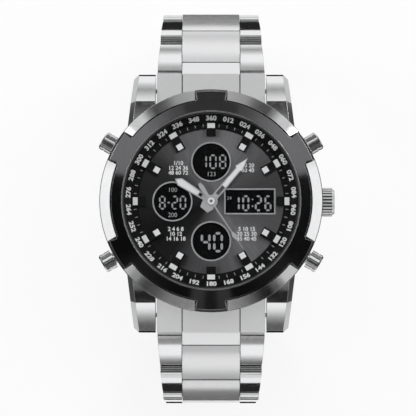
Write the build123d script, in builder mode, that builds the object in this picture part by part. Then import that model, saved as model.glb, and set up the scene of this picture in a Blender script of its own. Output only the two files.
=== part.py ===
# Analogue and digital wristwatch with a three-piece link bracelet and a folding clasp.
# Millimetres. The dial faces +Z, 12 o'clock is +Y and the crown is at +X.
# The origin is the centre of the case back's outer face.
import math
import os

from build123d import *

os.makedirs("parts", exist_ok=True)

# Clearances
running_gap = 0.05
side_gap = 0.12
slot_gap = 0.1
overrun = 2.0

# Case
case_radius = 22.0
case_wall = 3.8
case_foot_inset = 0.5
case_foot_height = 2.0
case_height = 8.6
back_thickness = 1.6
back_inset = 0.5
back_spigot_height = 0.6
back_edge = 0.35
back_gasket_edge = 0.3
back_gasket_width = 0.7
back_gasket_depth = 0.5
screw_edge = 0.8
screw_head_radius = 0.6
screw_head_sunk = 0.15
screw_head_height = 0.6
screw_shank_radius = 0.35
screw_length = 3.4
screw_slot_width = 0.2
screw_slot_depth = 0.2
screw_count = 4
screw_first_angle = 45

# Lugs
lug_gap = 0.25
lug_width = 6.2
lug_tip_inset = 1.65
lug_root_depth = 10.0
lug_corner_length = 1.0
lug_corner_width = 1.1
lug_overhang = 4.9
lug_slope_length = 5.6
lug_nose_length = 0.4
lug_drop = 1.3
lug_slope_fall = 6.0
lug_nose_fall = 1.0
lug_foot = 0.5
lug_toe_length = 1.4
lug_toe_rise = 1.0
lug_top_fall = 1.0
lug_top_crown = 0.3
lug_slope_crown = 0.2
lug_side_bevel = 1.0

# Spring bars in the lugs
bar_out = 1.3
bar_height = 3.0
bar_radius = 0.7
bar_tip_radius = 0.45
bar_tip_length = 1.9

# Bezel
bezel_height = 3.3
bezel_overhang = 1.0
bezel_foot_inset = 0.7
bezel_foot_height = 0.7
bezel_edge = 0.15
bezel_rim = 0.25
bezel_groove_width = 0.25
bezel_groove_depth = 0.45
black_width = 2.15
black_thickness = 1.6
black_fall = 0.3
steel_fall = 1.1
tab_count = 6
tab_first_angle = 30
tab_width = 6.5
tab_inset = 0.2
tab_lip = 0.3
tab_side_bevel = 0.5
tab_side_fall = 0.4

# Crystal
crystal_gasket_width = 0.3
crystal_thickness = 1.6
crystal_sunk = 0.3

# Flange, dial and display
flange_gap = 0.05
flange_land = 0.15
flange_width = 1.85
flange_wall_height = 0.9
track_width = 1.35
track_thickness = 0.3
dial_drop = 2.6
dial_thickness = 0.4
dial_hole_radius = 0.9
lcd_thickness = 0.8
lcd_gap = 0.3
lcd_hole_radius = 1.2
window_radius_share = 0.277
window_rim = 0.3
window_proud = 0.2
window_offset_share = 0.547
side_window_share = 0.533
box_width_share = 0.707
box_height_share = 0.36

# Hour markers
marker_width = 1.9
marker_height = 0.85
marker_gap = 0.1
marker_length = 4.05
short_marker_length = 2.75
block_thickness = 0.15
outer_block_inset = 0.6
outer_block_length = 1.0
outer_block_width = 1.6
inner_block_inset = 0.75
inner_block_size = 1.2
hour_count = 12

# Hands
hand_thickness = 0.2
hand_spacing = 0.42
hour_hand_rise = 0.45
hour_length_share = 0.587
hour_width = 1.75
hour_hub_radius = 1.25
hour_angle = 147.9
minute_length_share = 0.78
minute_width = 2.0
minute_hub_radius = 1.35
minute_tail_share = 0.153
minute_angle = 49.7
seconds_length_share = 0.787
seconds_width = 1.0
seconds_hub_radius = 0.75
seconds_tail_share = 0.293
seconds_tail_width = 0.95
seconds_angle = -56.1
seconds_arbor_radius = 0.2
minute_tube_wall = 0.25
hour_tube_wall = 0.25
arbor_step = 0.5
slot_width_share = 0.38

# Movement
holder_wall = 2.2
module_height_share = 0.3
board_height_share = 0.1
battery_radius = 6.0
battery_place = 6.5
holder_gap = 0.1

# Crown
control_height_share = 0.4186
crown_radius = 2.95
crown_length = 2.3
crown_cap_length = 0.5
crown_cap_radius = 2.3
crown_gap = 0.75
crown_flutes = 26
flute_radius = 0.22
crown_tube_radius = 1.6
crown_tube_length = 1.0
crown_recess_depth = 1.1
stem_radius = 0.6
stem_past_lever = 1.0
stem_groove_radius = 0.4
lever_depth = 2.4
lever_thickness = 0.6
lever_reach_share = 0.3876
lever_half = 1.4
crown_pull = 1.5

# Pushers
pusher_angles = (30, 150, 210, 330)
pusher_names = ("pusher_2", "pusher_10", "pusher_8", "pusher_4")
pusher_cap_radius = 1.95
pusher_cap_length = 2.6
pusher_groove_place = 1.25
pusher_groove_width = 0.22
pusher_groove_depth = 0.18
pusher_reach = 3.9
pusher_neck_radius = 1.25
pusher_collar_radius = 2.15
pusher_collar_length = 0.4
pusher_tube_radius = 1.7
pusher_stem_past = 1.1
pusher_travel = 0.8
pusher_edge = 0.3

# Bracelet
link_thickness = 3.4
link_pitch = 8.5
link_end_radius = 2.0
link_bevel = 0.45
link_crown = 0.35
link_pin_radius = 0.5
link_pin_bury = 1.5
centre_half = 6.0
row_half_widths = (11.2, 10.6, 10.1, 9.6, 9.25, 9.0, 8.9)
row_angles = (34, 60, 86, 110, 134, 156)
hinge_out = 5.6
hinge_start_height = 1.0

# End links
end_proud = 0.05
end_drop = 1.9
end_shoulder_out = 4.9
end_shoulder_rise = 3.0
end_root_depth = 5.0
end_foot = 0.8
end_groove_width = 0.25
end_groove_depth = 0.35

# Clasp
blade_thickness = 0.8
blade_half = 7.4
blade_lift = 0.05
blade_hinge_back = 7.4
blade_hinge_drop = 1.3
blade_gap = 0.7
blade_eye_radius = 1.0
blade_pin_radius = 0.45
knuckle_half = 4.0
cover_hinge_back = 5.4
cover_hinge_lift = 0.1
cover_eye_radius = 0.65
cover_pin_radius = 0.35
cover_ear_width = 1.2
cover_thickness = 0.9
cover_bar_gap = 0.15
cover_wall = 0.9
cover_wall_rise = 0.85
cover_back_length = 2.0
cover_front_length = 1.4
cover_notch_depth = 2.6
cover_notch_gap = 0.4
cover_mouth_length = 0.1
cover_slope_length = 3.0
fold_bar_radius = 0.6
fold_bar_half = 8.75
setting_hole_radius = 0.5
setting_hole_depth = 0.45
setting_hole_pitch = 3.0
setting_holes = 4

# Levels and places worked out from the sizes
bore_radius = case_radius - case_wall
case_foot_radius = case_radius - case_foot_inset
back_radius = case_foot_radius - back_inset
back_gasket_inner = bore_radius + back_gasket_edge
screw_circle = back_radius - screw_edge
z_case = back_thickness
z_bezel = z_case + case_height
z_top = z_bezel + bezel_height
z_crystal = z_top - crystal_sunk - crystal_thickness
z_black = z_top - black_thickness
dial_height = z_crystal - dial_drop
end_half = row_half_widths[0] + end_proud
lug_inner_half = end_half + lug_gap
lug_outer_half = lug_inner_half + lug_width
lug_root = case_radius - lug_root_depth
lug_tip = case_radius + lug_overhang
lug_shoulder = lug_tip - lug_nose_length
lug_break = lug_shoulder - lug_slope_length
lug_foot_break = lug_tip - lug_toe_length
lug_top = z_bezel - lug_drop
lug_shoulder_height = lug_top - lug_slope_fall
lug_tip_height = lug_shoulder_height - lug_nose_fall
lug_toe_height = lug_foot + lug_toe_rise
lug_break_height = lug_top - lug_top_fall
lug_slope_angle = math.atan2(lug_break_height - lug_shoulder_height, lug_slope_length)
bar_place = case_radius + bar_out
bezel_radius = case_radius + bezel_overhang
black_inner = bore_radius + bezel_rim
black_outer = black_inner + black_width
tab_reach = bezel_radius - tab_inset
z_slope = z_top - black_fall
z_rim = z_slope - steel_fall
tab_fall = black_fall * (tab_reach - black_inner) / black_width
crystal_radius = bore_radius - crystal_gasket_width
flange_inner = bore_radius - flange_width
track_inner = flange_inner - track_width
window_radius = track_inner * window_radius_share
window_offset = track_inner * window_offset_share
side_window_offset = track_inner * side_window_share
box_window_width = track_inner * box_width_share
box_window_height = track_inner * box_height_share
hour_length = track_inner * hour_length_share
minute_length = track_inner * minute_length_share
minute_tail = track_inner * minute_tail_share
seconds_length = track_inner * seconds_length_share
seconds_tail = track_inner * seconds_tail_share
marker_outer = flange_inner - marker_gap
marker_inner = marker_outer - marker_length
short_marker_inner = marker_outer - short_marker_length
outer_block_place = marker_outer - outer_block_inset
inner_block_place = marker_inner + inner_block_inset
hour_hand_height = dial_height + hour_hand_rise
z_track = dial_height + track_thickness
z_lcd = dial_height - dial_thickness
z_module = z_lcd - lcd_thickness
module_height = case_height * module_height_share
z_board = z_module - module_height
z_battery = z_board - case_height * board_height_share
control_height = z_board + module_height * control_height_share
lever_reach = module_height * lever_reach_share
z_floor = z_case + back_spigot_height
flange_outer = bore_radius - flange_gap
flange_top_inner = flange_outer - flange_land
holder_outer = bore_radius - holder_gap
holder_inner = holder_outer - holder_wall
lcd_radius = holder_inner - lcd_gap
lever_place = holder_inner - lever_depth
stem_end = lever_place - stem_past_lever
crown_start = case_radius + crown_gap
pusher_tip = case_radius + pusher_reach
pusher_stem_end = holder_outer - pusher_stem_past
minute_bore = seconds_arbor_radius + running_gap
minute_tube = minute_bore + minute_tube_wall
hour_bore = minute_tube + running_gap
hour_tube = hour_bore + hour_tube_wall
link_half = link_thickness / 2
end_run = math.sqrt(link_end_radius**2 - link_half**2)
outer_inner_half = centre_half + side_gap
link_facing = link_end_radius + side_gap
lip_run = math.sqrt(link_facing**2 - link_half**2)
row_count = len(row_angles)
hinge_start = case_radius + hinge_out
end_top = z_bezel - end_drop
end_shoulder = case_radius + end_shoulder_out
end_shoulder_height = hinge_start_height + end_shoulder_rise
end_root = case_radius - end_root_depth
stem_bore = stem_radius + running_gap
neck_bore = pusher_neck_radius + running_gap


def save(part, name):
    """Labels a finished part and writes its file."""
    part.label = name
    export_step(part, f"parts/{name}.step")


def chain(side):
    """Hinge places (y, z) along one half of the bracelet, from the case to the clasp."""
    y, z = hinge_start, hinge_start_height
    places = [(side * y, z)]
    for slope in row_angles:
        y += link_pitch * math.cos(math.radians(slope))
        z -= link_pitch * math.sin(math.radians(slope))
        places.append((side * y, z))
    return places


def along(side, slope):
    """Direction that a row runs in."""
    return (0, side * math.cos(math.radians(slope)), -math.sin(math.radians(slope)))


def outward(side, slope):
    """Direction of a row's outer face."""
    return (0, side * math.sin(math.radians(slope)), math.cos(math.radians(slope)))


def side_plane(place, side, slope, x=0):
    """Sketch plane of a row's side view, with its outer face up."""
    return Plane(origin=(x, place[0], place[1]), x_dir=along(side, slope), z_dir=(side, 0, 0))


def top_plane(place, side, slope):
    """Sketch plane of a row's plan view."""
    return Plane(origin=(0, place[0], place[1]), x_dir=along(side, slope), z_dir=outward(side, slope))


def yz_plane(x=0):
    """Plane with Y to the right and Z up, that faces +X."""
    return Plane(origin=(x, 0, 0), x_dir=(0, 1, 0), z_dir=(1, 0, 0))


def radial_plane(angle, reach, height):
    """Plane across a radius of the case."""
    a = math.radians(angle)
    out = (math.cos(a), math.sin(a), 0)
    origin = (reach * out[0], reach * out[1], height)
    return Plane(origin=origin, x_dir=(-out[1], out[0], 0), z_dir=out)


def rod(place, radius, half, keep_from=0):
    """Round rod along X at a (y, z) place, outside keep_from on both sides if that is given."""
    with BuildPart() as made:
        with BuildSketch(yz_plane(-half)):
            with Locations(place):
                Circle(radius)
        extrude(amount=2 * half)
        if keep_from:
            with BuildSketch(yz_plane(-keep_from)):
                with Locations(place):
                    Circle(radius + overrun)
            extrude(amount=2 * keep_from, mode=Mode.SUBTRACT)
    return made.part


def ring(inner, outer, low, high):
    """Flat ring round the dial's axis."""
    with BuildPart() as made:
        with BuildSketch(Plane.XY.offset(low)):
            Circle(outer)
            if inner:
                Circle(inner, mode=Mode.SUBTRACT)
        extrude(amount=high - low)
    return made.part


def lug(x_side, y_side):
    """One lug: plan and side outlines cut through each other, with its outer top edge bevelled."""
    slope_middle = (lug_break + lug_shoulder) / 2 + lug_slope_crown * math.sin(lug_slope_angle)
    slope_middle_height = (lug_break_height + lug_shoulder_height) / 2 + lug_slope_crown * math.cos(lug_slope_angle)
    with BuildPart() as made:
        with BuildSketch(Plane.XY):
            with BuildLine():
                Polyline(
                    (x_side * lug_inner_half, y_side * lug_root),
                    (x_side * lug_outer_half, y_side * lug_root),
                    (x_side * (lug_outer_half - lug_tip_inset), y_side * (lug_tip - lug_corner_length)),
                    (x_side * (lug_outer_half - lug_tip_inset - lug_corner_width), y_side * lug_tip),
                    (x_side * lug_inner_half, y_side * lug_tip),
                    close=True,
                )
            make_face()
        extrude(amount=z_bezel)
        with BuildSketch(yz_plane()):
            with BuildLine():
                ThreePointArc(
                    (y_side * lug_root, lug_top),
                    (y_side * (lug_root + lug_break) / 2, (lug_top + lug_break_height) / 2 + lug_top_crown),
                    (y_side * lug_break, lug_break_height),
                )
                ThreePointArc(
                    (y_side * lug_break, lug_break_height),
                    (y_side * slope_middle, slope_middle_height),
                    (y_side * lug_shoulder, lug_shoulder_height),
                )
                Polyline(
                    (y_side * lug_shoulder, lug_shoulder_height),
                    (y_side * lug_tip, lug_tip_height),
                    (y_side * lug_tip, lug_toe_height),
                    (y_side * lug_foot_break, lug_foot),
                    (y_side * lug_root, z_case),
                    (y_side * lug_root, lug_top),
                )
            make_face()
        extrude(amount=lug_outer_half + overrun, both=True, mode=Mode.INTERSECT)
        flank = made.faces().sort_by(Axis.X)[-1 if x_side > 0 else 0]
        top_edges = [edge for edge in flank.edges() if edge.bounding_box().min.Z > lug_shoulder_height]
        chamfer(top_edges, lug_side_bevel)
    return made.part


def control_bores():
    """Cutters for the crown tube and the pusher tubes."""
    with BuildPart() as made:
        with BuildSketch(radial_plane(0, holder_inner - overrun, control_height)):
            Circle(crown_tube_radius)
        extrude(amount=case_radius)
        for angle in pusher_angles:
            with BuildSketch(radial_plane(angle, holder_inner, control_height)):
                Circle(pusher_tube_radius)
            extrude(amount=case_radius)
            with BuildSketch(radial_plane(angle, case_radius, control_height)):
                Circle(pusher_collar_radius + slot_gap)
            extrude(amount=lug_overhang)
    return made.part


def screw_places():
    """Angles of the case back's screws."""
    return [screw_first_angle + 360 / screw_count * n for n in range(screw_count)]


# Case middle with its four lugs
lugs = [lug(x_side, y_side) for x_side in (-1, 1) for y_side in (-1, 1)]
lug_bar_tips = [
    rod((side * bar_place, bar_height), bar_tip_radius, end_half + bar_tip_length, lug_inner_half / 2)
    for side in (-1, 1)
]
case_bores = control_bores()
with BuildPart() as case_middle:
    with BuildSketch(Plane.XZ):
        with BuildLine():
            Polyline(
                (0, z_case),
                (case_foot_radius, z_case),
                (case_radius, z_case + case_foot_height),
                (case_radius, z_bezel),
                (0, z_bezel),
                close=True,
            )
        make_face()
    revolve(axis=Axis.Z)
    for made_lug in lugs:
        add(made_lug)
    with BuildSketch(Plane.XY.offset(z_case - overrun)):
        Circle(bore_radius)
    extrude(amount=z_bezel + overrun, mode=Mode.SUBTRACT)
    for tips in lug_bar_tips:
        add(tips, mode=Mode.SUBTRACT)
    add(case_bores, mode=Mode.SUBTRACT)
    with BuildSketch(Plane.XY.offset(z_case - overrun)):
        Circle(back_radius + flange_gap)
    extrude(amount=overrun, mode=Mode.SUBTRACT)
    for angle in screw_places():
        with BuildSketch(Plane.XY.rotated((0, 0, angle)).offset(z_case)):
            with Locations((screw_circle, 0)):
                Circle(screw_shank_radius)
        extrude(amount=screw_length - z_case, mode=Mode.SUBTRACT)
save(case_middle.part, "case_middle")

# Case back with its gasket and screws
gasket_outer = back_gasket_inner + back_gasket_width
with BuildPart() as case_back:
    with BuildSketch(Plane.XY):
        Circle(back_radius)
    extrude(amount=back_thickness)
    chamfer(case_back.faces().sort_by(Axis.Z)[0].edges(), back_edge)
    with BuildSketch(Plane.XY.offset(z_case)):
        Circle(bore_radius - holder_gap)
    extrude(amount=back_spigot_height)
    with BuildSketch(Plane.XY.offset(z_case - back_gasket_depth)):
        Circle(gasket_outer)
        Circle(back_gasket_inner, mode=Mode.SUBTRACT)
    extrude(amount=back_gasket_depth, mode=Mode.SUBTRACT)
    for angle in screw_places():
        with BuildSketch(Plane.XY.rotated((0, 0, angle))):
            with Locations((screw_circle, 0)):
                Circle(screw_head_radius)
        extrude(amount=screw_head_sunk + screw_head_height, mode=Mode.SUBTRACT)
        with BuildSketch(Plane.XY.rotated((0, 0, angle))):
            with Locations((screw_circle, 0)):
                Circle(screw_shank_radius)
        extrude(amount=back_thickness, mode=Mode.SUBTRACT)
save(case_back.part, "case_back")
save(ring(back_gasket_inner, gasket_outer, z_case - back_gasket_depth, z_case), "case_back_gasket")

with BuildPart() as case_back_screws:
    for angle in screw_places():
        with BuildSketch(Plane.XY.rotated((0, 0, angle)).offset(screw_head_sunk)):
            with Locations((screw_circle, 0)):
                Circle(screw_head_radius)
        extrude(amount=screw_head_height)
        with BuildSketch(Plane.XY.rotated((0, 0, angle)).offset(screw_head_sunk)):
            with Locations((screw_circle, 0)):
                Circle(screw_shank_radius)
        extrude(amount=screw_length - screw_head_sunk)
        with BuildSketch(Plane.XY.rotated((0, 0, angle)).offset(screw_head_sunk)):
            with Locations((screw_circle, 0)):
                Rectangle(2 * screw_head_radius, screw_slot_width)
        extrude(amount=screw_slot_depth, mode=Mode.SUBTRACT)
save(case_back_screws.part, "case_back_screws")

# Bezel: a steel ring with notches, and a black ring whose tabs fill them
tab_angles = [tab_first_angle + 360 / tab_count * n for n in range(tab_count)]
with BuildPart() as bezel_steel:
    with BuildSketch(Plane.XZ):
        with BuildLine():
            Polyline(
                (bore_radius, z_bezel),
                (bezel_radius - bezel_foot_inset, z_bezel),
                (bezel_radius, z_bezel + bezel_foot_height),
                (bezel_radius, z_rim - bezel_edge),
                (bezel_radius - bezel_edge, z_rim),
                (black_outer + bezel_groove_width, z_slope),
                (black_outer + bezel_groove_width, z_slope - bezel_groove_depth),
                (black_outer, z_slope - bezel_groove_depth),
                (black_outer, z_black),
                (black_inner, z_black),
                (black_inner, z_top),
                (bore_radius, z_top),
                close=True,
            )
        make_face()
    revolve(axis=Axis.Z)
    for angle in tab_angles:
        with BuildSketch(Plane.XY.rotated((0, 0, angle)).offset(z_black)):
            with Locations(((black_inner + bezel_radius + overrun) / 2, 0)):
                Rectangle(bezel_radius + overrun - black_inner, tab_width + 2 * slot_gap)
            Circle(black_inner, mode=Mode.SUBTRACT)
        extrude(amount=black_thickness, mode=Mode.SUBTRACT)
save(bezel_steel.part, "bezel_steel")

with BuildPart() as bezel_black:
    with BuildSketch(Plane.XY.offset(z_black)):
        Circle(black_outer)
        for angle in tab_angles:
            with Locations(Location((0, 0, 0), (0, 0, angle))):
                with Locations((tab_reach / 2, 0)):
                    Rectangle(tab_reach, tab_width)
        Circle(black_inner, mode=Mode.SUBTRACT)
    extrude(amount=black_thickness)
    with BuildSketch(Plane.XZ):
        with BuildLine():
            Polyline(
                (black_inner, z_black),
                (tab_reach, z_black),
                (tab_reach, z_top - tab_fall - tab_lip),
                (tab_reach - tab_lip, z_top - tab_fall),
                (black_inner, z_top),
                close=True,
            )
        make_face()
    revolve(axis=Axis.Z, mode=Mode.INTERSECT)
    for angle in tab_angles:
        for tab_side in (-1, 1):
            with BuildSketch(radial_plane(angle, black_outer + slot_gap, 0)):
                with BuildLine():
                    Polyline(
                        (tab_side * (tab_width / 2 - tab_side_bevel), z_slope),
                        (tab_side * (tab_width / 2 + tab_side_bevel), z_slope),
                        (tab_side * (tab_width / 2 + tab_side_bevel), z_slope - 2 * tab_side_fall),
                        close=True,
                    )
                make_face()
            extrude(amount=tab_reach - black_outer, mode=Mode.SUBTRACT)
save(bezel_black.part, "bezel_black")

# Crystal and its gasket
save(ring(0, crystal_radius, z_crystal, z_crystal + crystal_thickness), "crystal")
save(ring(crystal_radius, bore_radius, z_crystal, z_crystal + crystal_thickness), "crystal_gasket")

# Sloping flange with the minute track at its foot
with BuildPart() as flange_ring:
    with BuildSketch(Plane.XZ):
        with BuildLine():
            Polyline(
                (track_inner, dial_height),
                (flange_outer, dial_height),
                (flange_outer, z_crystal),
                (flange_top_inner, z_crystal),
                (flange_inner, dial_height + flange_wall_height),
                (flange_inner, z_track),
                (track_inner, z_track),
                close=True,
            )
        make_face()
    revolve(axis=Axis.Z)
save(flange_ring.part, "flange_ring")


def window_sketch(shrink):
    """The four window outlines, made smaller all round by shrink."""
    with BuildSketch(mode=Mode.PRIVATE) as made:
        with Locations((0, window_offset), (0, -window_offset), (-side_window_offset, 0)):
            Circle(window_radius - shrink)
        with Locations((side_window_offset, 0)):
            Rectangle(box_window_width - 2 * shrink, box_window_height - 2 * shrink)
    return made.sketch


# Dial with its windows, their frames and the display under them
with BuildPart() as dial_plate:
    with BuildSketch(Plane.XY.offset(z_lcd)):
        Circle(flange_outer)
        add(window_sketch(0), mode=Mode.SUBTRACT)
        Circle(dial_hole_radius, mode=Mode.SUBTRACT)
    extrude(amount=dial_thickness)
save(dial_plate.part, "dial_plate")

with BuildPart() as window_frames:
    with BuildSketch(Plane.XY.offset(z_lcd)):
        add(window_sketch(0))
        add(window_sketch(window_rim), mode=Mode.SUBTRACT)
    extrude(amount=dial_thickness + window_proud)
save(window_frames.part, "window_frames")
save(ring(lcd_hole_radius, lcd_radius, z_module, z_lcd), "lcd_panel")


def marker_start(index):
    """Inner end of an hour marker: shorter at 12, 3, 6 and 9."""
    return marker_inner if index % 3 else short_marker_inner


# Hour markers and their pale blocks
track = ring(track_inner, flange_outer, dial_height - overrun, z_track)
marker_turn = 360 / hour_count
with BuildPart() as hour_markers:
    for index in range(hour_count):
        with BuildSketch(Plane.XY.rotated((0, 0, marker_turn * index)).offset(dial_height)):
            with Locations(((marker_start(index) + marker_outer) / 2, 0)):
                Rectangle(marker_outer - marker_start(index), marker_width)
        extrude(amount=marker_height)
    add(track, mode=Mode.SUBTRACT)
save(hour_markers.part, "hour_markers")

with BuildPart() as lume_blocks:
    for index in range(hour_count):
        block_plane = Plane.XY.rotated((0, 0, marker_turn * index)).offset(dial_height + marker_height)
        with BuildSketch(block_plane):
            with Locations((outer_block_place, 0)):
                Rectangle(outer_block_length, outer_block_width)
            if index % 3:
                with Locations((inner_block_place, 0)):
                    Rectangle(inner_block_size, inner_block_size)
        extrude(amount=block_thickness)
save(lume_blocks.part, "lume_blocks")


def half_outline(shares, length, width):
    """Closed outline of a hand from shares of its length and width, mirrored about its middle."""
    right = [(length * along_share, width * across_share) for along_share, across_share in shares]
    left = [(x, -y) for x, y in reversed(right) if y]
    return right + left


# Shares are (of the length, of the width) from the pivot outwards
hour_shares = ((0, 0.3), (0.15, 0.36), (0.87, 0.5), (1, 0.0))
minute_shares = ((0, 0.34), (0.76, 0.3), (0.74, 0.5), (1, 0.0))
minute_tail_shares = ((0, 0.35), (-0.45, 0.62), (-1, 0.42))
seconds_shares = ((0, 0.12), (0.64, 0.08), (0.72, 0.5), (0.84, 0.08), (1, 0.05))
seconds_tail_shares = ((0, 0.25), (-0.8, 0.5), (-1, 0.3))
hour_slot_shares = (0.25, 0.33)
minute_slot_shares = (0.16, 0.34)


def hand_plane(angle, height):
    """Plane that a hand lies on, with its tip along the plane's x."""
    return Plane.XY.rotated((0, 0, angle)).offset(height)


def hand(angle, height, length, width, shares, hub, slot_shares):
    """Flat hand with its hub; a slot through it if shares for one are given."""
    with BuildPart() as made:
        with BuildSketch(hand_plane(angle, height)):
            with BuildLine():
                Polyline(*half_outline(shares, length, width), close=True)
            make_face()
            Circle(hub)
            if slot_shares:
                near, far = (length * share for share in slot_shares)
                with Locations(((near + far) / 2, 0)):
                    Rectangle(far - near, width * slot_width_share, mode=Mode.SUBTRACT)
        extrude(amount=hand_thickness)
    return made.part


minute_hand_height = hour_hand_height + hand_spacing
seconds_hand_height = minute_hand_height + hand_spacing
hour_foot = z_module - arbor_step
minute_foot = hour_foot - arbor_step
seconds_foot = minute_foot - arbor_step

hour_blade = hand(hour_angle, hour_hand_height, hour_length, hour_width, hour_shares, hour_hub_radius, hour_slot_shares)
with BuildPart() as hour_hand:
    add(hour_blade)
    with BuildSketch(Plane.XY.offset(hour_foot)):
        Circle(hour_tube)
    extrude(amount=hour_hand_height - hour_foot)
    with BuildSketch(Plane.XY.offset(hour_foot - overrun)):
        Circle(hour_bore)
    extrude(amount=hour_hand_height + overrun, mode=Mode.SUBTRACT)
save(hour_hand.part, "hour_hand")

minute_blade = hand(
    minute_angle,
    minute_hand_height,
    minute_length,
    minute_width,
    minute_shares,
    minute_hub_radius,
    minute_slot_shares,
)
with BuildPart() as minute_hand:
    add(minute_blade)
    with BuildSketch(hand_plane(minute_angle, minute_hand_height)):
        with BuildLine():
            Polyline(*half_outline(minute_tail_shares, minute_tail, minute_tail), close=True)
        make_face()
    extrude(amount=hand_thickness)
    with BuildSketch(Plane.XY.offset(minute_foot)):
        Circle(minute_tube)
    extrude(amount=minute_hand_height - minute_foot)
    with BuildSketch(Plane.XY.offset(minute_foot - overrun)):
        Circle(minute_bore)
    extrude(amount=minute_hand_height + overrun, mode=Mode.SUBTRACT)
save(minute_hand.part, "minute_hand")

seconds_blade = hand(
    seconds_angle,
    seconds_hand_height,
    seconds_length,
    seconds_width,
    seconds_shares,
    seconds_hub_radius,
    None,
)
with BuildPart() as seconds_hand:
    add(seconds_blade)
    with BuildSketch(hand_plane(seconds_angle, seconds_hand_height)):
        with BuildLine():
            Polyline(*half_outline(seconds_tail_shares, seconds_tail, seconds_tail_width), close=True)
        make_face()
    extrude(amount=hand_thickness)
    with BuildSketch(Plane.XY.offset(seconds_foot)):
        Circle(seconds_arbor_radius)
    extrude(amount=seconds_hand_height - seconds_foot)
save(seconds_hand.part, "seconds_hand")


# Movement: module, circuit board, battery and the ring that holds them
def stem_path(gap):
    """Cutter for the crown's stem and the lever that slides with it."""
    with BuildPart() as made:
        with BuildSketch(radial_plane(0, stem_end - running_gap, control_height)):
            Circle(stem_bore)
        extrude(amount=bore_radius)
        with BuildSketch(yz_plane(lever_place - gap)):
            with Locations((0, control_height)):
                Rectangle(2 * (lever_half + gap), 2 * (lever_reach + gap))
        extrude(amount=lever_thickness + crown_pull + 2 * gap)
    return made.part


stem_cutter = stem_path(slot_gap)
hand_bores = ((hour_tube, hour_foot), (minute_tube, minute_foot), (seconds_arbor_radius, seconds_foot))
with BuildPart() as movement_module:
    with BuildSketch(Plane.XY.offset(z_board)):
        Circle(holder_inner)
    extrude(amount=module_height)
    for radius, foot in hand_bores:
        with BuildSketch(Plane.XY.offset(foot - running_gap)):
            Circle(radius + running_gap)
        extrude(amount=z_module + overrun - foot, mode=Mode.SUBTRACT)
    add(stem_cutter, mode=Mode.SUBTRACT)
save(movement_module.part, "movement_module")
save(ring(0, holder_inner, z_battery, z_board), "circuit_board")

with BuildPart() as battery:
    with BuildSketch(Plane.XY.offset(z_floor)):
        with Locations((-battery_place, 0)):
            Circle(battery_radius)
    extrude(amount=z_battery - z_floor)
save(battery.part, "battery")

with BuildPart() as movement_holder:
    with BuildSketch(Plane.XY.offset(z_floor)):
        Circle(holder_outer)
    extrude(amount=z_lcd - z_floor)
    with BuildSketch(Plane.XY.offset(z_battery)):
        Circle(holder_inner)
    extrude(amount=z_lcd - z_battery, mode=Mode.SUBTRACT)
    with BuildSketch(Plane.XY.offset(z_floor)):
        with Locations((-battery_place, 0)):
            Circle(battery_radius)
    extrude(amount=z_battery - z_floor, mode=Mode.SUBTRACT)
    add(case_bores, mode=Mode.SUBTRACT)
save(movement_holder.part, "movement_holder")

# Tubes of the crown and the pushers, pressed into the case
with BuildPart() as control_tubes:
    with BuildSketch(radial_plane(0, holder_outer, control_height)):
        Circle(crown_tube_radius)
        Circle(stem_bore, mode=Mode.SUBTRACT)
    extrude(amount=case_radius + crown_tube_length - holder_outer)
    for angle in pusher_angles:
        with BuildSketch(radial_plane(angle, holder_outer, control_height)):
            Circle(pusher_tube_radius)
            Circle(neck_bore, mode=Mode.SUBTRACT)
        extrude(amount=case_radius - holder_outer)
        with BuildSketch(radial_plane(angle, case_radius, control_height)):
            Circle(pusher_collar_radius)
            Circle(neck_bore, mode=Mode.SUBTRACT)
        extrude(amount=pusher_collar_length)
save(control_tubes.part, "control_tubes")


def pusher(angle):
    """Push button: stem, neck and bevelled cap with a groove round it."""
    with BuildPart() as made:
        with BuildSketch(radial_plane(angle, pusher_stem_end, control_height)):
            Circle(pusher_neck_radius)
        extrude(amount=pusher_tip - pusher_cap_length - pusher_stem_end)
        with BuildSketch(radial_plane(angle, pusher_tip - pusher_cap_length, control_height)):
            Circle(pusher_cap_radius)
        extrude(amount=pusher_cap_length)
        tip_plane = radial_plane(angle, pusher_tip, control_height)
        chamfer(made.faces().sort_by_distance(tip_plane.origin)[0].edges(), pusher_edge)
        with BuildSketch(radial_plane(angle, pusher_tip - pusher_groove_place, control_height)):
            Circle(pusher_cap_radius + overrun)
            Circle(pusher_cap_radius - pusher_groove_depth, mode=Mode.SUBTRACT)
        extrude(amount=pusher_groove_width, mode=Mode.SUBTRACT)
    return made.part


for name, angle in zip(pusher_names, pusher_angles):
    save(pusher(angle), name)

# Crown with its stem
crown_cap_start = crown_start + crown_length
with BuildPart() as crown:
    with BuildSketch(radial_plane(0, crown_start, control_height)):
        Circle(crown_radius)
        with PolarLocations(crown_radius, crown_flutes):
            Circle(flute_radius, mode=Mode.SUBTRACT)
    extrude(amount=crown_length)
    with BuildSketch(radial_plane(0, crown_cap_start, control_height)):
        Circle(crown_radius - flute_radius)
    with BuildSketch(radial_plane(0, crown_cap_start + crown_cap_length, control_height)):
        Circle(crown_cap_radius)
    loft()
    with BuildSketch(radial_plane(0, crown_start, control_height)):
        Circle(crown_tube_radius + slot_gap)
    extrude(amount=crown_recess_depth, mode=Mode.SUBTRACT)
    with BuildSketch(radial_plane(0, stem_end, control_height)):
        Circle(stem_radius)
    extrude(amount=crown_start + crown_recess_depth - stem_end)
    with BuildSketch(radial_plane(0, lever_place, control_height)):
        Circle(stem_radius)
        Circle(stem_groove_radius, mode=Mode.SUBTRACT)
    extrude(amount=lever_thickness, mode=Mode.SUBTRACT)
save(crown.part, "crown")

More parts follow.
